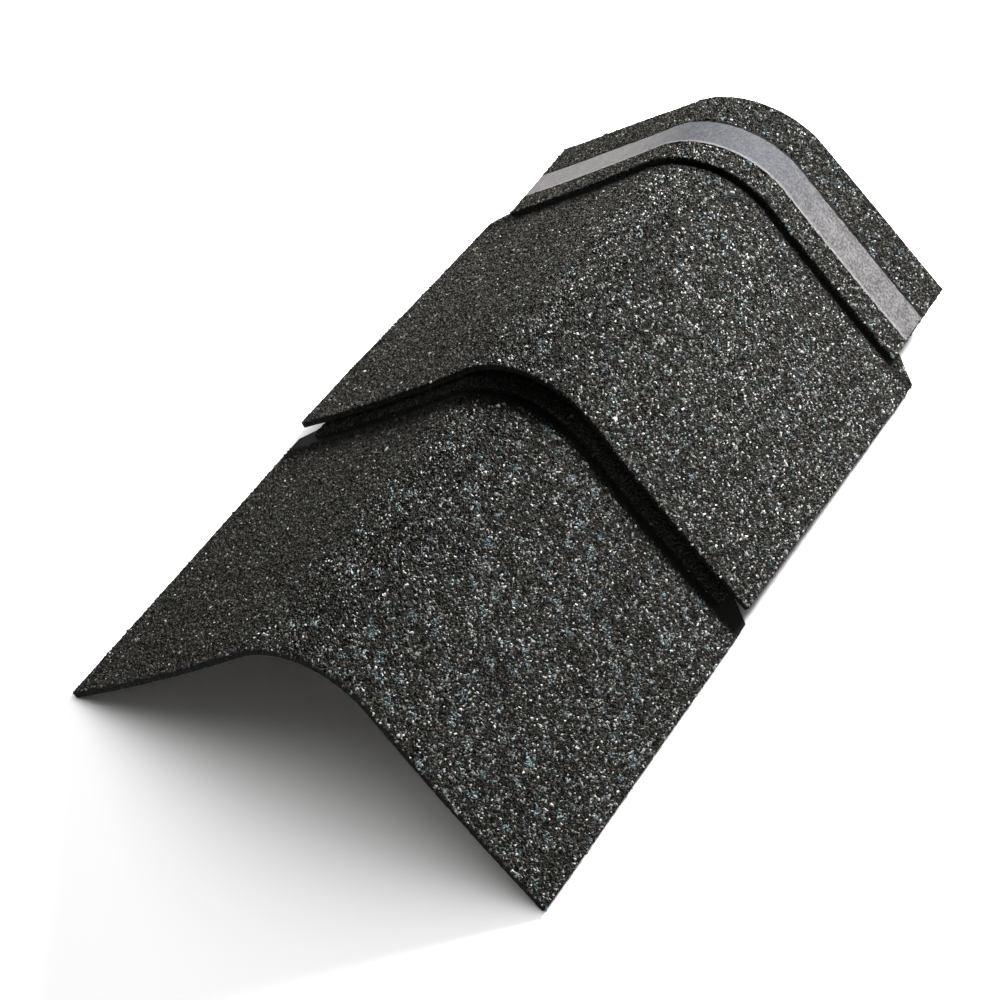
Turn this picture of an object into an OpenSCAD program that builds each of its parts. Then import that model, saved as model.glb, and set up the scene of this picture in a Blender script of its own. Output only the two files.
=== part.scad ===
// A lapped pair of formed hip-and-ridge asphalt shingles.
// Each shingle is an arched base sheet, with a second ply on its headlap
// and a fabric nailing strip bonded along that ply. The rear shingle laps
// over the headlap of the front one, as on a ridge.
// The origin is the centre of the footprint, on the floor. The ridge runs
// along Y, with the front butt towards -Y, and +Z is up.

/* [Shingle outline] */
// Width across the exposed part, from edge to edge
shingle_w = 246; // [200:1:310]
// Length of one shingle from its butt to its far edge
shingle_l = 258; // [235:1:320]
// Length of the front shingle left showing in front of the rear one
exposure = 203; // [160:1:216]
// How far the headlap sides are set in from the exposed sides
shoulder_inset = 10; // [4:0.5:20]
// Length along the ridge of the diagonal cut at each shoulder
shoulder_l = 8.5; // [3:0.5:14]

/* [Arched section] */
// Radius of the crest at the underside
crest_r = 47; // [35:1:60]
// Slope where the crest ends and the wings start
crest_angle = 43.5; // [40:0.5:48]
// Slope at the outer edges, where the wings have flared out
edge_angle = 37.5; // [28:0.5:38.5]

/* [Plies] */
// Thickness of the base sheet
base_t = 3.2; // [2.5:0.1:5]
// Thickness of the second ply on the headlap
layer_t = 2.6; // [2:0.1:4]
// How far the second ply reaches out in front of the next butt
layer_lead = 7; // [2:0.5:12]
// How far the second ply stays inside the headlap sides
layer_inset = 0; // [0:0.5:8]

/* [Nailing strip] */
// Width of the strip, measured along the ridge
strip_w = 20; // [14:0.5:28]
// Thickness of the fabric
strip_t = 0.4; // [0.3:0.1:1]
// Distance from the front edge of the second ply to the strip
strip_setback = 15; // [6:0.5:20]
// How far each end of the strip stays inside the edges of the second ply
strip_inset = 0.5; // [0.5:0.5:6]

/* [Lap] */
// Gap left between the rear shingle and what it laps over
lap_gap = 0.3; // [0.2:0.05:1]
// How much higher the rear butt stands than the rest of the lap
butt_rise = 1.5; // [0:0.5:4]
// How much taller the rear arch is than the front one
rear_rise = 1.5; // [0:0.5:6]

/* [Hidden] */

granule_grey = [0.23, 0.22, 0.21];
headlap_grey = [0.28, 0.27, 0.26];
strip_grey = [0.68, 0.68, 0.69];

// Chords along each half of the crest and along each wing
crest_steps = 12;
wing_steps = 10;
// How far an arch runs on past its plan outline, which trims it
run_on = 1;
// How far the trimming outlines reach above and below the front arch
trim_h = 50;

half_w = shingle_w / 2;
headlap_half_w = half_w - shoulder_inset;
layer_half_w = headlap_half_w - layer_inset;
strip_half_w = layer_half_w - strip_inset;

layer_y = exposure - layer_lead;
shoulder_end_y = layer_y + shoulder_l;
strip_y = layer_y + strip_setback;
total_l = exposure + shingle_l;

// The crest arc and the wing arc meet at crest_angle, so the wing radius and
// the height of the arch follow from the width
wing_r = (half_w - crest_r * sin(crest_angle)) / (sin(crest_angle) - sin(edge_angle));
arch_h = wing_r * (cos(edge_angle) - cos(crest_angle)) + crest_r * (1 - cos(crest_angle));

// Slope and height of a wing's underside at a distance x from the ridge
function wing_slope(x) = asin(sin(edge_angle) + (half_w - x) / wing_r);
function wing_z(x) = wing_r * (cos(edge_angle) - cos(wing_slope(x)));

// Lift that clears the plies under the rear shingle at their outer edges,
// where the taller arch gains the least height over them
rear_scale = 1 + rear_rise / arch_h;
stack_t = base_t + layer_t + strip_t + lap_gap;
lap_lift = stack_t / cos(wing_slope(layer_half_w)) - (rear_scale - 1) * wing_z(layer_half_w);

// A station along a shingle is [y, scale of the height, lift above the floor]
level_station = [0, 1, 0];
rear_stations = [
    [-run_on, rear_scale, lap_lift + butt_rise],
    [shingle_l - exposure, rear_scale, lap_lift],
    [layer_y, rear_scale, 0],
    [shingle_l + run_on, rear_scale, 0]
];

// The underside curve of the right half, from the crest outwards, as
// [x, z, slope]: an arc over the crest, then a long hollow arc down the wing
function crest_point(a) = [crest_r * sin(a), arch_h - crest_r * (1 - cos(a)), a];
function wing_point(a) = [
    half_w - wing_r * (sin(a) - sin(edge_angle)),
    wing_r * (cos(edge_angle) - cos(a)),
    a
];
last_slope = wing_slope(half_w + run_on);
right_curve = concat(
    [for (i = [0:crest_steps]) crest_point(crest_angle * i / crest_steps)],
    [for (i = [1:wing_steps])
        wing_point(crest_angle + (last_slope - crest_angle) * i / wing_steps)]
);
left_curve = [for (i = [len(right_curve) - 1:-1:1])
    [-right_curve[i][0], right_curve[i][1], -right_curve[i][2]]];
arch_curve = concat(left_curve, right_curve);

// A point of the arch, raised by d along the normal at station s
function arch_point(p, d, s) =
    let (slope = atan(s[1] * tan(p[2])))
    [p[0] + d * sin(slope), p[1] * s[1] + s[2] + d * cos(slope)];

// The closed outline of the arch between heights d0 and d1 at station s
function arch_outline(d0, d1, s) = concat(
    [for (p = arch_curve) arch_point(p, d0, s)],
    [for (i = [len(arch_curve) - 1:-1:0]) arch_point(arch_curve[i], d1, s)]
);

// The arch of the front shingle, with one section all along
module straight_arch(d0, d1) {
    translate([0, shingle_l + run_on, 0])
        rotate([90, 0, 0])
            linear_extrude(shingle_l + 2 * run_on)
                polygon(arch_outline(d0, d1, level_station));
}

// The arch of the rear shingle, which comes down from the lap to the floor
module draped_arch(d0, d1) {
    n = 2 * len(arch_curve);
    last = len(rear_stations) - 1;
    points = [for (s = rear_stations) for (p = arch_outline(d0, d1, s)) [p[0], s[0], p[1]]];
    walls = [for (k = [0:last - 1]) for (i = [0:n - 1])
        let (a = k * n + i, b = k * n + (i + 1) % n) [a, b, b + n, a + n]];
    front_face = [for (i = [n - 1:-1:0]) i];
    far_face = [for (i = [0:n - 1]) last * n + i];
    polyhedron(points, concat(walls, [front_face], [far_face]));
}

// Plan outlines, which trim each arch with upright cuts
module base_plan() {
    polygon([
        [-half_w, 0], [half_w, 0],
        [half_w, layer_y], [headlap_half_w, shoulder_end_y],
        [headlap_half_w, shingle_l], [-headlap_half_w, shingle_l],
        [-headlap_half_w, shoulder_end_y], [-half_w, layer_y]
    ]);
}
module layer_plan() {
    translate([-layer_half_w, layer_y])
        square([2 * layer_half_w, shingle_l - layer_y]);
}
module strip_plan() {
    translate([-strip_half_w, strip_y])
        square([2 * strip_half_w, strip_w]);
}

// Keeps what lies over a plan outline
module trim_to_plan() {
    intersection() {
        children(0);
        translate([0, 0, -trim_h])
            linear_extrude(arch_h + 2 * trim_h)
                children(1);
    }
}

// Places of the two shingles, with the footprint centred on the origin
module front_place() {
    translate([0, -total_l / 2, 0]) children();
}
module rear_place() {
    translate([0, exposure - total_l / 2, 0]) children();
}

// Heights of the plies above the underside of the base sheet
layer_top = base_t + layer_t;
strip_top = layer_top + strip_t;

module front_base_sheet() {
    color(granule_grey) front_place() trim_to_plan() {
        straight_arch(0, base_t);
        base_plan();
    }
}
module front_headlap_layer() {
    color(headlap_grey) front_place() trim_to_plan() {
        straight_arch(base_t, layer_top);
        layer_plan();
    }
}
module front_nailing_strip() {
    color(strip_grey) front_place() trim_to_plan() {
        straight_arch(layer_top, strip_top);
        strip_plan();
    }
}
module rear_base_sheet() {
    color(granule_grey) rear_place() trim_to_plan() {
        draped_arch(0, base_t);
        base_plan();
    }
}
module rear_headlap_layer() {
    color(headlap_grey) rear_place() trim_to_plan() {
        draped_arch(base_t, layer_top);
        layer_plan();
    }
}
module rear_nailing_strip() {
    color(strip_grey) rear_place() trim_to_plan() {
        draped_arch(layer_top, strip_top);
        strip_plan();
    }
}

front_base_sheet();
front_headlap_layer();
front_nailing_strip();
rear_base_sheet();
rear_headlap_layer();
rear_nailing_strip();
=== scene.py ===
"""Looks of a lapped pair of arched hip-and-ridge asphalt shingles.

Each shingle is rebuilt as closed sheets on the same section curves as the
CAD solids, and dressed with crushed stone granules. The places come from
the CAD boxes; the section's own values are those of the part's source.
"""

import bpy
import numpy as np
from mathutils import Matrix, Vector


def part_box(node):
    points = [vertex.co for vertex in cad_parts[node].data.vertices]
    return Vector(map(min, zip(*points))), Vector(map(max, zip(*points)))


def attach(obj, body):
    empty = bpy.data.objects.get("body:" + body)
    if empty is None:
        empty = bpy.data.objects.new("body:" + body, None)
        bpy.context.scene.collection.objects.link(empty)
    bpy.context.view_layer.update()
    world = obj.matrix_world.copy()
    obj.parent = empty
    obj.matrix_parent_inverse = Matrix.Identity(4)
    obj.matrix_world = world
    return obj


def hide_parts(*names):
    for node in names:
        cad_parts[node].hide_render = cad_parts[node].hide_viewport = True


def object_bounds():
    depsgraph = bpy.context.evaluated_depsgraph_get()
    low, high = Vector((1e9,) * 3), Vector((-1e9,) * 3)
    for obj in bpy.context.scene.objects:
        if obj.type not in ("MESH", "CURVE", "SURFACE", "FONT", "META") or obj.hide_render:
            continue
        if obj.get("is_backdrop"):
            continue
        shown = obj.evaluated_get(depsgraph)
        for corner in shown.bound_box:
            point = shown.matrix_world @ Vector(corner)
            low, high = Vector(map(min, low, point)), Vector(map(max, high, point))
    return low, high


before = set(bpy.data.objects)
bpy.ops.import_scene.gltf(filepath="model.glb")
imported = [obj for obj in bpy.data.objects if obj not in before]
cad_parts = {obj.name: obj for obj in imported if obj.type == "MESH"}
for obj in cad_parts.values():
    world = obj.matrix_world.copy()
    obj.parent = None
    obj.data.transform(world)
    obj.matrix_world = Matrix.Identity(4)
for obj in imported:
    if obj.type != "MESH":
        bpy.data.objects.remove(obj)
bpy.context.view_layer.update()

MM = 0.001

# --------------------------------------------------------------------------
# Sizes, in metres
# --------------------------------------------------------------------------
# The section of the arch, as in the part's source
CREST_R = 47 * MM
CREST_ANGLE = np.radians(43.5)
EDGE_ANGLE = np.radians(37.5)
REAR_RISE = 1.5 * MM
BUTT_RISE = 1.5 * MM
SHOULDER_L = 8.5 * MM
RUN_ON = 1 * MM

# What the CAD solids leave plain: how far the far edge has settled and where
# that turns from a fall to a rise, how far before the next butt the front
# shoulder cuts start, and the bare margin along every cut
SETTLE = 3 * MM
SETTLE_SPAN = 84 * MM
SHOULDER_LEAD = 2 * MM
MARGIN = 0.25 * MM
FLOOR_GAP = 0.01 * MM

# Everything else is read off the boxes of the CAD nodes
base_low, base_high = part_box("front_base_sheet")
ply_low, ply_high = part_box("front_headlap_layer")
tape_low, tape_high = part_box("front_nailing_strip")
rear_low, rear_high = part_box("rear_base_sheet")
HALF_W = base_high.x
PLY_HALF_W = ply_high.x
TAPE_HALF_W = tape_high.x
SHINGLE_L = base_high.y - base_low.y
EXPOSURE = rear_low.y - base_low.y
PLY_Y = ply_low.y - base_low.y
TAPE_Y = tape_low.y - base_low.y
TAPE_W = tape_high.y - tape_low.y

WING_R = (HALF_W - CREST_R * np.sin(CREST_ANGLE)) / (np.sin(CREST_ANGLE) - np.sin(EDGE_ANGLE))
ARCH_H = (WING_R * (np.cos(EDGE_ANGLE) - np.cos(CREST_ANGLE))
          + CREST_R * (1 - np.cos(CREST_ANGLE)))
BASE_T = base_high.z - ARCH_H
PLY_T = ply_high.z - base_high.z
TAPE_T = tape_high.z - ply_high.z
TOP = BASE_T + PLY_T
REAR_SCALE = 1 + REAR_RISE / ARCH_H
BUTT_LIFT = rear_high.z - BASE_T - REAR_RISE - ARCH_H

# A shingle is the y of its butt, the scale of its height, its lift above the
# floor at stations along it, where its shoulder cuts start, measured from its
# butt, and the largest share of blue-grey stones. The front shoulder cuts
# start shortly before the next butt, which covers most of them.
REAR_BACK = SHINGLE_L - EXPOSURE
LAP_LIFT = BUTT_LIFT - BUTT_RISE * REAR_BACK / (REAR_BACK + RUN_ON)
FRONT = {
    "name": "front", "y": base_low.y, "scale": 1.0,
    "shoulder": EXPOSURE - SHOULDER_LEAD, "stations": [0, 1], "lifts": [0, 0], "blues": 0.55,
}
REAR = {
    "name": "rear", "y": rear_low.y, "scale": REAR_SCALE,
    "shoulder": PLY_Y, "stations": [-RUN_ON, REAR_BACK, PLY_Y, SHINGLE_L + RUN_ON],
    "lifts": [LAP_LIFT + BUTT_RISE, LAP_LIFT, 0, 0], "blues": 0.26,
}


# --------------------------------------------------------------------------
# The arch
# --------------------------------------------------------------------------
def section(depth, scale):
    """Half of the section, from the crest out, as (arc length, x, z, slope) tables.

    The underside is an arc of radius CREST_R over the crest, then an arc of
    radius WING_R that hollows the wing down to its edge. Heights are scaled,
    and each point is moved by depth along the normal there.
    """
    last = np.arcsin(np.sin(EDGE_ANGLE) - 3 * RUN_ON / WING_R)
    crest = np.linspace(0, CREST_ANGLE, 300)
    wing = np.linspace(CREST_ANGLE, last, 300)[1:]
    angle = np.concatenate([crest, wing])
    x = np.concatenate([CREST_R * np.sin(crest),
                        HALF_W - WING_R * (np.sin(wing) - np.sin(EDGE_ANGLE))])
    z = np.concatenate([ARCH_H - CREST_R * (1 - np.cos(crest)),
                        WING_R * (np.cos(EDGE_ANGLE) - np.cos(wing))])
    slope = np.arctan(scale * np.tan(angle))
    x, z = x + depth * np.sin(slope), z * scale + depth * np.cos(slope)
    length = np.concatenate([[0], np.cumsum(np.hypot(np.diff(x), np.diff(z)))])
    return length, x, z, slope


def lift(shingle, y):
    """Height of a shingle above the floor at distance y from its butt."""
    return np.interp(y, shingle["stations"], shingle["lifts"])


def settle(shingle, x, y):
    """How far the surface stands off the plain arch towards the rear shingle's far edge.

    Nothing holds the bend there, so it has opened to a rounder one. The
    change is a half cosine from the ridge, which sinks by SETTLE, to
    SETTLE_SPAN out, past which the wings have risen as much. It grows with
    the cube of the way.
    """
    if shingle is FRONT:
        return 0.0
    way = np.clip((y - REAR_BACK) / (SHINGLE_L - REAR_BACK), 0, 1) ** 3
    return -SETTLE * way * np.cos(np.pi * np.clip(np.abs(x) / SETTLE_SPAN, 0, 1))


def height(shingle, x, y, depth):
    """Height of a shingle's surface, depth above its underside, over plan points."""
    _, xs, zs, _ = section(depth, shingle["scale"])
    return np.interp(np.abs(x), xs, zs) + lift(shingle, y) + settle(shingle, x, y)


def square_cut(half_width, low, high):
    """Half width at height high over the underside, of a side cut square to the sheet.

    half_width is the one at height low.
    """
    return np.interp(half_width, section(low, 1)[1], section(high, 1)[1])


HEADLAP_HALF_W = square_cut(PLY_HALF_W, TOP, 0)


def base_half_width(shingle, y):
    """Half the width of the base sheet's underside at y: full in front, less past the shoulders."""
    start = shingle["shoulder"]
    return np.interp(y, [start, start + SHOULDER_L], [HALF_W, HEADLAP_HALF_W])


def waves(x, y, length, seed):
    """Smooth noise from -1 to 1: the mean of eight plane waves of about that length."""
    rng = np.random.default_rng(seed)
    total = np.zeros(np.broadcast(x, y).shape)
    for turn, phase, stretch in rng.uniform(0, 1, (8, 3)):
        a = 2 * np.pi * turn
        k = 2 * np.pi / (length * (0.7 + 0.6 * stretch))
        total += np.sin(k * (x * np.cos(a) + y * np.sin(a)) + 2 * np.pi * phase)
    return total / 8 * 1.6


# --------------------------------------------------------------------------
# Meshes
# --------------------------------------------------------------------------
def make_mesh(name, points, loops, counts, smooth, uv=None, uv_name="cloth"):
    """A mesh object from arrays: points, the corners of all faces in a row, and corners per face."""
    mesh = bpy.data.meshes.new(name)
    mesh.vertices.add(len(points))
    mesh.vertices.foreach_set("co", points.astype(np.float32).ravel())
    mesh.loops.add(len(loops))
    mesh.loops.foreach_set("vertex_index", loops.astype(np.int32))
    mesh.polygons.add(len(counts))
    starts = np.concatenate([[0], np.cumsum(counts)[:-1]])
    mesh.polygons.foreach_set("loop_start", starts.astype(np.int32))
    mesh.polygons.foreach_set("use_smooth", np.full(len(counts), smooth))
    if uv is not None:
        layer = mesh.uv_layers.new(name=uv_name)
        layer.uv.foreach_set("vector", uv.astype(np.float32).ravel())
    mesh.update(calc_edges=True)
    mesh.validate()
    obj = bpy.data.objects.new(name, mesh)
    bpy.context.scene.collection.objects.link(obj)
    return obj


def shell(name, top, bottom, uv=None):
    """A closed sheet between two grids of points of the same shape, rows along y, columns along x.

    Top faces run along +x then +y; the bottom is the same grid turned over,
    and a strip of faces joins the two rims. The underside takes the sheet's
    second material.
    """
    rows, cols, _ = top.shape
    n = rows * cols
    index = np.arange(n).reshape(rows, cols)
    a, b = index[:-1, :-1], index[:-1, 1:]
    c, d = index[1:, 1:], index[1:, :-1]
    upper = np.stack([a, b, c, d], -1).reshape(-1, 4)
    lower = np.stack([d, c, b, a], -1).reshape(-1, 4) + n
    rim = np.concatenate([index[0, :-1], index[:-1, -1], index[-1, :0:-1], index[:0:-1, 0]])
    after = np.roll(rim, -1)
    wall = np.stack([rim + n, after + n, after, rim], -1)
    faces = np.concatenate([upper, lower, wall])
    points = np.concatenate([top.reshape(-1, 3), bottom.reshape(-1, 3)])
    flat = None if uv is None else np.concatenate([uv.reshape(-1, 2)] * 2)[faces.ravel()]
    sheet = make_mesh(name, points, faces.ravel(), np.full(len(faces), 4), False, flat)
    under = np.repeat([0, 1, 0], [len(upper), len(lower), len(wall)])
    sheet.data.polygons.foreach_set("material_index", under.astype(np.int32))
    return sheet


def spread(shingle, depth, half_width, count):
    """Plan x of count points evenly spaced along the section, from edge to edge, per row."""
    length, xs, _, _ = section(depth, shingle["scale"])
    reach = np.interp(half_width, xs, length)
    along = np.linspace(-1, 1, count) * np.atleast_1d(reach)[:, None]
    return np.sign(along) * np.interp(np.abs(along), length, xs)


def ply(name, shingle, depth, thick, rows, half_width, count, seed):
    """A closed ply from depth to depth + thick over its plan outline.

    rows are distances from the butt and half_width the plan half width at
    each, at the shingle's underside. The sides are cut square to the sheet,
    so each level reaches out further than the one under it. The rim wanders
    by a fifth of a millimetre, like a knife cut through stone and asphalt.
    """
    faces = []
    for level, k in ((depth + thick, 1), (depth, 2)):
        px = spread(shingle, level, square_cut(half_width, 0, level), count)
        py = np.broadcast_to(np.asarray(rows)[:, None], px.shape).copy()
        x, y = px.copy(), py.copy()
        wander = waves(x * 7, y * 7, 15 * MM, seed + k) * 0.22 * MM
        px[:, 0] += wander[:, 0]
        px[:, -1] += wander[:, -1]
        py[0] += wander[0] - 0.1 * MM
        py[-1] += wander[-1]
        z = height(shingle, px, py, level)
        faces.append(np.stack([px, py + shingle["y"], np.maximum(z, FLOOR_GAP)], -1))
    return shell(name, *faces)


def fabric_strip(name, shingle, seed):
    """The nailing strip laid over the second ply, as a closed sheet of fabric.

    Its long edges wander by a third of a millimetre, and its face rises and
    dips a little over the stones under it. Its UV map is in decimetres: u
    along the strip, v across it from the front edge.
    """
    rows = np.linspace(TAPE_Y, TAPE_Y + TAPE_W, 22)
    x = spread(shingle, TOP, np.full(len(rows), TAPE_HALF_W), 300)
    y = np.broadcast_to(rows[:, None], x.shape).copy()
    y[0] += 0.3 * MM * waves(x[0] * 3, 0, 11 * MM, seed)
    y[-1] += 0.3 * MM * waves(x[-1] * 3, 0, 11 * MM, seed + 1)
    pillow = 0.04 * MM * waves(x, y, 4 * MM, seed + 2)
    top = height(shingle, x, y, TOP + TAPE_T) + pillow
    bottom = height(shingle, x, y, TOP) + pillow
    along, xs, _, _ = section(TOP, shingle["scale"])
    uv = np.stack([np.sign(x) * np.interp(np.abs(x), xs, along), y - TAPE_Y], -1) * 10
    faces = [np.stack([x, y + shingle["y"], z], -1) for z in (top, bottom)]
    return shell(name, *faces, uv)


def dress(piece, slot, *materials):
    """Gives a piece its materials and its body. Its slot is not used."""
    for material in materials:
        piece.data.materials.append(material)
    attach(piece, "root")


# --------------------------------------------------------------------------
# Granules
# --------------------------------------------------------------------------
# A chip has four corners round its foot and a short ridge on top, in units
# of its half length, half width and height
CHIP_CORNERS = np.array([[-1, -0.8, 0], [0.9, -1, 0], [1, 0.8, 0], [-0.9, 1, 0],
                         [-0.45, 0.1, 1], [0.5, -0.1, 1]], float)
CHIP_LOOPS = np.array([0, 1, 5, 4, 1, 2, 5, 2, 3, 4, 5, 3, 0, 4, 3, 2, 1, 0])
CHIP_COUNTS = np.array([4, 3, 4, 3, 4])
SHADES = 16
PITCH = 1.12 * MM
CRUMB_PITCH = 0.42 * MM
# Bonding asphalt squeezed out along the front of the second ply, left bare
# of stones; the band is widened so that its black also paints the shade the
# ply casts in front of itself
BEAD_AND_SHADE_W = 4.2 * MM


def chips(name, centre, across, along, normal, size, shade, light, rng):
    """Crushed stone chips as one mesh.

    Each is the six-cornered block above, its corners moved at random, scaled
    to its own half length, half width and height, tipped a little, turned
    about the surface normal and set on it. Its place on the UV map gives its
    colour: u picks the shade of stone and v how light it is.
    """
    n = len(centre)
    local = CHIP_CORNERS + rng.normal(0, 1, (n, 6, 3)) * [0.2, 0.2, 0.14]
    local[:, :4, 2] -= 0.45
    turn = rng.uniform(0, 2 * np.pi, n)
    tip = rng.normal(0, 0.16, (n, 2))
    body = local * size[:, None, :]
    body[:, :, 2] += (body[:, :, :2] * tip[:, None, :]).sum(2)
    cos, sin = np.cos(turn)[:, None], np.sin(turn)[:, None]
    u = body[:, :, 0] * cos - body[:, :, 1] * sin
    v = body[:, :, 0] * sin + body[:, :, 1] * cos
    points = (centre[:, None, :] + u[:, :, None] * across[:, None, :]
              + v[:, :, None] * along[:, None, :] + body[:, :, 2:] * normal[:, None, :])
    loops = (CHIP_LOOPS[None, :] + 6 * np.arange(n)[:, None]).ravel()
    spot = np.stack([(shade + 0.5) / SHADES, light], -1)
    uv = spot[:, None, :] + CHIP_CORNERS[None, CHIP_LOOPS, :2] * [0.35 / SHADES, 0.006]
    return make_mesh(name, points.reshape(-1, 3), loops, np.tile(CHIP_COUNTS, n), False,
                     uv.reshape(-1, 2), "OFBake")


def frame_at(shingle, x, y, depth):
    """Point, direction across, direction along and normal of the surface at plan points."""
    step = 0.05 * MM
    z = height(shingle, x, y, depth)
    dx = (height(shingle, x + step, y, depth) - height(shingle, x - step, y, depth)) / (2 * step)
    dy = (height(shingle, x, y + step, depth) - height(shingle, x, y - step, depth)) / (2 * step)
    across = np.stack([np.ones_like(x), np.zeros_like(x), dx], -1)
    across /= np.linalg.norm(across, axis=1, keepdims=True)
    along = np.stack([np.zeros_like(x), np.ones_like(x), dy], -1)
    normal = np.cross(across, along)
    normal /= np.linalg.norm(normal, axis=1, keepdims=True)
    along = np.cross(normal, across)
    return np.stack([x, y + shingle["y"], z], -1), across, along, normal


def scatter(shingle, depth, half_width, y0, y1, pitch, rng):
    """Plan points on a jittered staggered grid, evenly spaced over the surface."""
    length, xs, _, _ = section(depth, shingle["scale"])
    reach = np.interp(half_width, xs, length)
    s, y = np.meshgrid(np.arange(-reach, reach, pitch), np.arange(y0, y1, pitch * 0.87))
    s = s + (np.arange(len(y)) % 2)[:, None] * pitch / 2
    s = (s + rng.uniform(-0.42, 0.42, s.shape) * pitch).ravel()
    y = (y + rng.uniform(-0.42, 0.42, y.shape) * pitch).ravel()
    return np.sign(s) * np.interp(np.abs(s), length, xs), y


def smoothstep(low, high, value):
    """Cubic ramp, three t squared less two t cubed, from 0 at low to 1 at high."""
    t = np.clip((value - low) / (high - low), 0, 1)
    return t * t * (3 - 2 * t)


def shade_and_stain_of(x, y):
    """Share of the stones painted dark at distance y from the butt.

    The darkening is painted shade, where the second ply's front and, on the
    front shingle, the next butt cast their shadow, with some asphalt staining
    at the bare band. It is one at that band in front of the second ply and
    falls smoothly to none, within a short way over the crest and +X wing, and a
    longer way down the other wing, where the painted shade stands for a softer
    shadow.
    """
    way = (3 + 10 * smoothstep(10 * MM, -45 * MM, x)) * MM
    return np.where(y > PLY_Y, 0, 1 - smoothstep(0, 1, (PLY_Y - BEAD_AND_SHADE_W - y) / way))


def blend_of(x, y, rng, blues, headlap, shade_and_stain):
    """Shade index and lightness of each granule.

    The blend is mostly dark stone. Light and blue-grey stones come in from
    the crest towards +X, the blue ones in loose clusters where they are up to
    the share blues. The headlap has fewer light ones. The dark ones, like the
    others, are a little lighter up the +X side and towards +Y, painted light as
    from the key lamp behind. A given share of the stones is all dark: painted
    shade in front of the second ply and under the next butt, with some asphalt
    staining.
    """
    rich = smoothstep(-48 * MM, 4 * MM, x + 12 * MM * waves(x, y, 45 * MM, 5))
    cluster = smoothstep(0.25, 0.9, waves(x, y, 9 * MM, 6) + 0.4 * waves(x, y, 34 * MM, 7)
                         + (0.15 if headlap else 0))
    draw = rng.uniform(0, 1, len(x))
    blue = (0.01 + blues * cluster) * rich
    white = (0.007 + 0.073 * rich) * (0.45 if headlap else 1)
    pale = (0.045 + 0.12 * rich) * (0.8 if headlap else 1)
    brown = np.full(len(x), 0.05)
    edges = np.cumsum([blue, white, pale, brown], 0)
    kind = (draw[None, :] > edges).sum(0)
    pick = rng.integers(0, 1 << 30, len(x))
    # Shades 0-2 are blue-grey, 3-4 whitish, 5-7 light grey, 8-9 brown, 10-15 dark
    # Painted shade: the given share of the stones is made all dark, near the second ply's front and under
    # the next butt, with some asphalt staining
    shade_darkened = rng.uniform(0, 1, len(x)) < shade_and_stain
    kind = np.where(shade_darkened, 4, kind)
    first = np.array([0, 3, 5, 8, 10])[kind]
    many = np.array([3, 2, 3, 2, 6])[kind]
    # Painted light: all stones a little lighter up the +X side and towards +Y, as the key lamp behind
    # would light them
    light = rng.normal(0.5, 0.16, len(x)) + 0.08 * rich * smoothstep(-150 * MM, 50 * MM, y)
    light = np.clip(light, 0.05, 0.95)
    return first + pick % many, np.where(shade_darkened, 0.02 + 0.2 * (1 - shade_and_stain), light)


def crumbs(name, shingle, depth, thick, y, half_width, seed):
    """Broken stones and asphalt crumbs along a cut across the ridge at distance y from the butt.

    They are chips a little over half size, nearly all dark, at random heights
    on the cut face, which looks back to the butt, or ahead at the far edge.
    """
    rng = np.random.default_rng(seed)
    length, xs, _, _ = section(depth, shingle["scale"])
    reach = np.interp(half_width, xs, length) - 1 * MM
    s = rng.uniform(-reach, reach, int(reach / CRUMB_PITCH))
    x = np.sign(s) * np.interp(np.abs(s), length, xs)
    level = rng.uniform(0.15, 1.0, len(s)) * thick
    at = np.full(len(s), y)
    centre, across, along, normal = frame_at(shingle, x, at, depth)
    centre += normal * level[:, None]
    out = along if y == SHINGLE_L else -along
    size = np.exp(rng.normal(0, 0.25, (len(s), 3))) * [0.5 * MM, 0.4 * MM, 0.3 * MM]
    shade = np.where(rng.uniform(0, 1, len(s)) < 0.06, 6, 10 + rng.integers(0, 6, len(s)))
    light = rng.uniform(0.02, 0.35, len(s))
    piece = chips(name, centre, across, np.cross(out, across), out, size, shade, light, rng)
    dress(piece, "granule_face", granule_stone)


def granules(name, shingle, depth, half_width, y0, y1, keep, seed, blues, headlap=False,
             in_shade=False):
    """Granules over part of a surface: keep(x, y) says where they lie.

    blues is the largest share of blue-grey ones, and the last flag darkens them all: painted shade for a
    ledge lying in the next butt's shadow.
    """
    rng = np.random.default_rng(seed)
    x, y = scatter(shingle, depth, half_width, y0, y1, PITCH, rng)
    held = keep(x, y)
    x, y = x[held], y[held]
    centre, across, along, normal = frame_at(shingle, x, y, depth)
    grain = np.exp(rng.normal(0, 0.22, len(x)))[:, None]
    size = np.exp(rng.normal(0, 0.15, (len(x), 3))) * grain * [0.72 * MM, 0.56 * MM, 0.40 * MM]
    # Painted shade: without the last flag, stones near the second ply's front are darkened; with it, all
    # of them
    shade_and_stain = np.ones(len(x)) if in_shade else shade_and_stain_of(x, y)
    shade, light = blend_of(x, y + shingle["y"], rng, blues, headlap, shade_and_stain)
    piece = chips(name, centre, across, along, normal, size, shade, light, rng)
    dress(piece, "granule_face", granule_stone)


# --------------------------------------------------------------------------
# Materials
# --------------------------------------------------------------------------
def linear(code, alpha=1.0):
    """sRGB hex to linear."""
    value = np.array([int(code[i:i + 2], 16) for i in (1, 3, 5)]) / 255
    value = np.where(value <= 0.04045, value / 12.92, ((value + 0.055) / 1.055) ** 2.4)
    return (*value, alpha)


def new_material(name):
    material = bpy.data.materials.new(name)
    material.use_nodes = True
    tree = material.node_tree
    return material, tree, tree.nodes["Principled BSDF"]


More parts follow.
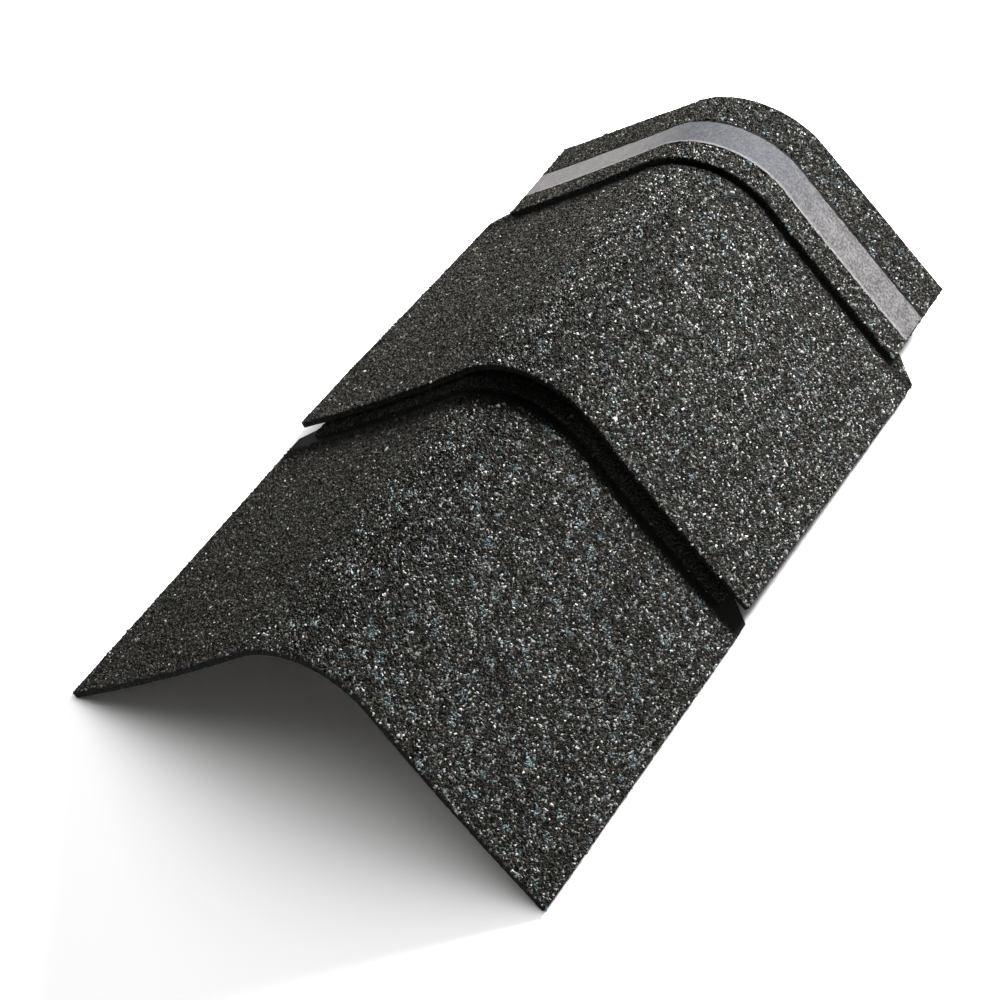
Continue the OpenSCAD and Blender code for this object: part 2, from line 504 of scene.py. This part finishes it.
def add(tree, kind, settings=None, **links):
    """Adds a node with its settings, values by input name, and links to its inputs."""
    node = tree.nodes.new(kind)
    for key, value in (settings or {}).items():
        if isinstance(key, int) or key in node.inputs:
            node.inputs[key].default_value = value
        else:
            setattr(node, key, value)
    for key, value in links.items():
        target = node.inputs[int(key[1:])] if key[1:].isdigit() else node.inputs[key]
        tree.links.new(value, target)
    return node


# Crushed slag and basalt with a fired ceramic colour coat: dull, a little
# sparkle on broken faces
granule_stone, tree, shader = new_material("ceramic_coated_stone_granules")
STONES = ["#6a7f83", "#83989b", "#586a6e", "#b2b4b2", "#cfd0ce", "#787a77", "#656663", "#8c8d8a",
          "#494036", "#5f564b", "#2f2e29", "#272622", "#38372f", "#2c2a24", "#434138", "#21201d"]
uv = add(tree, "ShaderNodeUVMap", {"uv_map": "OFBake"})
split = add(tree, "ShaderNodeSeparateXYZ", i0=uv.outputs[0])
ramp = add(tree, "ShaderNodeValToRGB", i0=split.outputs["X"])
ramp.color_ramp.interpolation = "CONSTANT"
while len(ramp.color_ramp.elements) < SHADES:
    ramp.color_ramp.elements.new(1.0)
for i, code in enumerate(STONES):
    ramp.color_ramp.elements[i].position = i / SHADES
    ramp.color_ramp.elements[i].color = linear(code)
gain = add(tree, "ShaderNodeMapRange", {"To Min": 0.5, "To Max": 1.5}, i0=split.outputs["Y"])
tint = add(tree, "ShaderNodeVectorMath", {"operation": "SCALE"}, i0=ramp.outputs["Color"],
           Scale=gain.outputs["Result"])
tree.links.new(tint.outputs[0], shader.inputs["Base Color"])
shader.inputs["Roughness"].default_value = 0.75
shader.inputs["Specular IOR Level"].default_value = 0.2

# Oxidised coating asphalt on a glass mat: near black, satin, pebbled where
# it shows between the stones
asphalt, tree, shader = new_material("filled_coating_asphalt")
place = add(tree, "ShaderNodeTexCoord")
grit = add(tree, "ShaderNodeTexNoise", {"Scale": 900.0, "Detail": 3.0}, Vector=place.outputs["Object"])
dark = add(tree, "ShaderNodeValToRGB", i0=grit.outputs["Fac"])
dark.color_ramp.elements[0].position = 0.35
dark.color_ramp.elements[0].color = linear("#0e0e0d")
dark.color_ramp.elements[1].position = 0.75
dark.color_ramp.elements[1].color = linear("#1a1917")
bump = add(tree, "ShaderNodeBump", {"Strength": 0.6, "Distance": 0.0004}, Height=grit.outputs["Fac"])
tree.links.new(dark.outputs["Color"], shader.inputs["Base Color"])
tree.links.new(bump.outputs["Normal"], shader.inputs["Normal"])
shader.inputs["Roughness"].default_value = 0.8
shader.inputs["Specular IOR Level"].default_value = 0.08

# The back of a sheet, dusted with fine sand so that it doesn't stick in the pack
dusted_asphalt, tree, shader = new_material("sand_dusted_asphalt_back")
place = add(tree, "ShaderNodeTexCoord")
sand = add(tree, "ShaderNodeTexVoronoi", {"Scale": 1700.0}, Vector=place.outputs["Object"])
patch = add(tree, "ShaderNodeTexNoise", {"Scale": 45.0, "Detail": 4.0}, Vector=place.outputs["Object"])
grain = add(tree, "ShaderNodeSeparateXYZ", i0=sand.outputs["Color"])
much = add(tree, "ShaderNodeMath", {"operation": "MULTIPLY_ADD", 1: 0.75, 2: -0.12},
           i0=grain.outputs["X"], i2=patch.outputs["Fac"])
tone = add(tree, "ShaderNodeValToRGB", i0=much.outputs[0])
tone.color_ramp.elements[0].position = 0.3
tone.color_ramp.elements[0].color = linear("#1b1a18")
tone.color_ramp.elements[1].position = 0.95
tone.color_ramp.elements[1].color = linear("#6d6a63")
bump = add(tree, "ShaderNodeBump", {"Strength": 0.5, "Distance": 0.0002}, Height=sand.outputs["Distance"])
tree.links.new(tone.outputs["Color"], shader.inputs["Base Color"])
tree.links.new(bump.outputs["Normal"], shader.inputs["Normal"])
shader.inputs["Roughness"].default_value = 0.85

# Woven polyester tape, bonded over the stones: a plain weave of 0.7 mm
# threads, grey where asphalt has bled up into it, darker and bluer over the
# ridge, paler along its front edge, and paler down the -X wing, painted sheen
# of the raking light on the fibres there
fabric, tree, shader = new_material("woven_polyester_tape")
cloth = add(tree, "ShaderNodeUVMap", {"uv_map": "cloth"})
thread = [add(tree, "ShaderNodeTexWave", {"bands_direction": way, "Scale": 45.0, "Distortion": 0.6,
                                          "Detail": 1.0}, Vector=cloth.outputs[0])
          for way in ("X", "Y")]
weave = add(tree, "ShaderNodeMath", {"operation": "MULTIPLY"}, i0=thread[0].outputs["Fac"],
            i1=thread[1].outputs["Fac"])
bleed = add(tree, "ShaderNodeTexNoise", {"Scale": 14.0, "Detail": 6.0, "Roughness": 0.65},
            Vector=cloth.outputs[0])
speck = add(tree, "ShaderNodeTexNoise", {"Scale": 70.0, "Detail": 2.0}, Vector=cloth.outputs[0])
soil = add(tree, "ShaderNodeMath", {"operation": "MULTIPLY_ADD", 1: 1.4},
           i0=speck.outputs["Fac"], i2=bleed.outputs["Fac"])
soil = add(tree, "ShaderNodeMath", {"operation": "SUBTRACT", 1: 0.6}, i0=soil.outputs[0])
tone = add(tree, "ShaderNodeValToRGB", i0=soil.outputs[0])
for element, position, code in zip(tone.color_ramp.elements, (0.35, 0.85), ("#3f3d3e", "#737072")):
    element.position = position
    element.color = linear(code)
place = add(tree, "ShaderNodeSeparateXYZ", i0=cloth.outputs[0])
from_ridge = add(tree, "ShaderNodeMath", {"operation": "ABSOLUTE"}, i0=place.outputs["X"])
# Darker and bluer over the ridge
over = add(tree, "ShaderNodeMapRange", {"From Min": 0.75, "From Max": 0.25, "To Max": 0.6},
           i0=from_ridge.outputs[0])
ridge_tone = add(tree, "ShaderNodeMix", {"data_type": "RGBA", 7: linear("#3b4148")},
           i0=over.outputs["Result"], i6=tone.outputs["Color"])
# Painted sheen: the tape is made paler down the -X wing, as raking light off its fibres would show it
wing = add(tree, "ShaderNodeMapRange", {"From Min": -0.25, "From Max": -0.8, "To Max": 0.4},
           i0=place.outputs["X"])
sheen_wing_tone = add(tree, "ShaderNodeMix", {"data_type": "RGBA", 7: linear("#8f8b89")},
           i0=wing.outputs["Result"], i6=ridge_tone.outputs[2])
front = add(tree, "ShaderNodeMapRange", {"From Min": 0.02, "From Max": 0.008, "To Max": 0.85},
            i0=place.outputs["Y"])
edge = add(tree, "ShaderNodeMath", {"operation": "MULTIPLY"}, i0=front.outputs["Result"],
           i1=speck.outputs["Fac"])
pale = add(tree, "ShaderNodeMix", {"data_type": "RGBA", 7: linear("#9a9795")},
           i0=edge.outputs[0], i6=sheen_wing_tone.outputs[2])
bump = add(tree, "ShaderNodeBump", {"Strength": 0.35, "Distance": 0.0001}, Height=weave.outputs[0])
tree.links.new(pale.outputs[2], shader.inputs["Base Color"])
tree.links.new(bump.outputs["Normal"], shader.inputs["Normal"])
shader.inputs["Roughness"].default_value = 0.8
shader.inputs["Specular IOR Level"].default_value = 0.25

# --------------------------------------------------------------------------
# Pieces
# --------------------------------------------------------------------------
PLY_ROWS = np.linspace(PLY_Y, SHINGLE_L, 28)
for shingle, seed in ((FRONT, 100), (REAR, 200)):
    who = shingle["name"]
    start = shingle["shoulder"]
    rows = np.concatenate([np.linspace(0, start, 72), np.linspace(start + SHOULDER_L, SHINGLE_L, 24)])
    sheet = ply(who + "_base", shingle, 0, BASE_T, rows, base_half_width(shingle, rows), 150, seed)
    layer = ply(who + "_second_ply", shingle, BASE_T, PLY_T, PLY_ROWS,
                np.full(len(PLY_ROWS), HEADLAP_HALF_W), 140, seed + 10)
    for piece, node in ((sheet, "_base_sheet"), (layer, "_headlap_layer")):
        dress(piece, "granule_face", asphalt, dusted_asphalt)
        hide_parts(who + node)
    strip = fabric_strip(who + "_strip", shingle, seed + 20)
    dress(strip, "nailing_fabric", fabric, fabric)
    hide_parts(who + "_nailing_strip")


def on_base(shingle, x, y):
    """The base sheet up to a bare band of asphalt before the second ply, and the rear shoulders; the band
    is squeezed-out bonding asphalt, widened as painted shade.
    """
    inside = np.abs(x) < square_cut(base_half_width(shingle, y), 0, BASE_T) - MARGIN
    bead_and_shade_edge = PLY_Y - BEAD_AND_SHADE_W + 0.8 * MM * waves(x, 0, 9 * MM, 8)
    beside = (np.abs(x) > PLY_HALF_W + MARGIN) & (shingle is REAR)
    return inside & ((y < bead_and_shade_edge) | beside)


def on_ply_front(x, y):
    """The second ply in front of the nailing strip."""
    return (np.abs(x) < PLY_HALF_W - MARGIN) & (y < TAPE_Y)


def on_ply_back(x, y):
    """The second ply beyond the nailing strip and a bare line of asphalt, and its ends beside it."""
    end = np.abs(x) > TAPE_HALF_W - MARGIN
    bare = TAPE_Y + TAPE_W + (2.0 + 0.5 * waves(x * 2, 0, 12 * MM, 9)) * MM
    return (np.abs(x) < PLY_HALF_W - MARGIN) & (end | (y > bare))


def part_of_base(shingle, low, high):
    """on_base between two distances from the ridge, to keep each piece a handy size."""
    return lambda x, y: on_base(shingle, x, y) & (x >= low) & (x < high)


# Parts of a base sheet between distances from the ridge, the outer two past any edge
WING_SPLIT = 62 * MM
PARTS = (("far_left", -1, -WING_SPLIT), ("left", -WING_SPLIT, 0),
         ("right", 0, WING_SPLIT), ("far_right", WING_SPLIT, 1))
for shingle, seed in ((FRONT, 301), (REAR, 401)):
    who, blues = shingle["name"], shingle["blues"]
    for i, (part, low, high) in enumerate(PARTS):
        granules(f"{who}_base_granules_{part}", shingle, BASE_T, square_cut(HALF_W, 0, BASE_T),
                 MARGIN, PLY_Y + SHOULDER_L, part_of_base(shingle, low, high), seed + i, blues)
    # The front shingle's second ply in front of its strip lies in the next butt's shadow: its stones are
    # painted dark as shade
    granules(who + "_ply_granules", shingle, TOP, PLY_HALF_W, PLY_Y + MARGIN, TAPE_Y + MARGIN,
             on_ply_front, seed + len(PARTS), blues, in_shade=shingle is FRONT)
for shingle, seed in ((FRONT, 600), (REAR, 700)):
    who = shingle["name"]
    crumbs(who + "_butt_crumbs", shingle, 0, BASE_T, 0, HALF_W, seed)
    crumbs(who + "_ply_butt_crumbs", shingle, BASE_T, PLY_T, PLY_Y, HEADLAP_HALF_W, seed + 1)
    crumbs(who + "_far_edge_crumbs", shingle, 0, TOP, SHINGLE_L, HEADLAP_HALF_W, seed + 2)
granules("rear_headlap_granules", REAR, TOP, PLY_HALF_W, TAPE_Y, SHINGLE_L - MARGIN, on_ply_back,
         500, 0.36, headlap=True)

# --------------------------------------------------------------------------
# Floor, light and camera
# --------------------------------------------------------------------------
floor_mesh = bpy.data.meshes.new("floor")
floor_mesh.from_pydata([(-4, -4, 0), (4, -4, 0), (4, 4, 0), (-4, 4, 0)], [], [(0, 1, 2, 3)])
floor = bpy.data.objects.new("floor", floor_mesh)
bpy.context.scene.collection.objects.link(floor)
paper, tree, shader = new_material("matt_white_paper")
shader.inputs["Base Color"].default_value = linear("#f4f4f4")
shader.inputs["Roughness"].default_value = 0.9
floor_mesh.materials.append(paper)
floor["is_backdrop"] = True


def softbox(name, place, aim, size, watts):
    """A square area lamp at a place, turned to face a point."""
    data = bpy.data.lights.new(name, "AREA")
    data.shape = "SQUARE"
    data.size = size
    data.energy = watts
    lamp = bpy.data.objects.new(name, data)
    lamp.location = place
    lamp.rotation_euler = (Vector(aim) - Vector(place)).to_track_quat("-Z", "Y").to_euler()
    bpy.context.scene.collection.objects.link(lamp)
    return lamp


# A low key from behind rakes the stones, and a wide fill lights the floor alone
softbox("key", (0.2, 1.15, 0.75), (0, 0, 0.03), 0.3, 64)
floor_fill = softbox("floor_fill", (-0.3, 0.1, 1.5), (0, -0.2, 0), 2.2, 39)
floor_only = bpy.data.collections.new("floor_only")
floor_only.objects.link(floor)
floor_fill.light_linking.receiver_collection = floor_only

world = bpy.data.worlds.new("studio")
world.use_nodes = True
world.node_tree.nodes["Background"].inputs["Color"].default_value = linear("#ffffff")
world.node_tree.nodes["Background"].inputs["Strength"].default_value = 0.16
bpy.context.scene.world = world
bpy.context.scene.view_settings.view_transform = "Standard"

# A long lens, above and in front of the +X wing, aimed near the origin and rolled a little
camera_data = bpy.data.cameras.new("camera")
camera_data.lens = 118.15
camera_data.sensor_width = 36
camera = bpy.data.objects.new("camera", camera_data)
camera_place = Vector((0.507, -1.0567, 1.1337))
look = (Vector((-0.0183, -0.0133, 0)) - camera_place).to_track_quat("-Z", "Y").to_matrix().to_4x4()
roll = Matrix.Rotation(np.radians(3.13), 4, "Z")
camera.matrix_world = Matrix.Translation(camera_place) @ look @ roll
bpy.context.scene.collection.objects.link(camera)
bpy.context.scene.camera = camera

low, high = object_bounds()
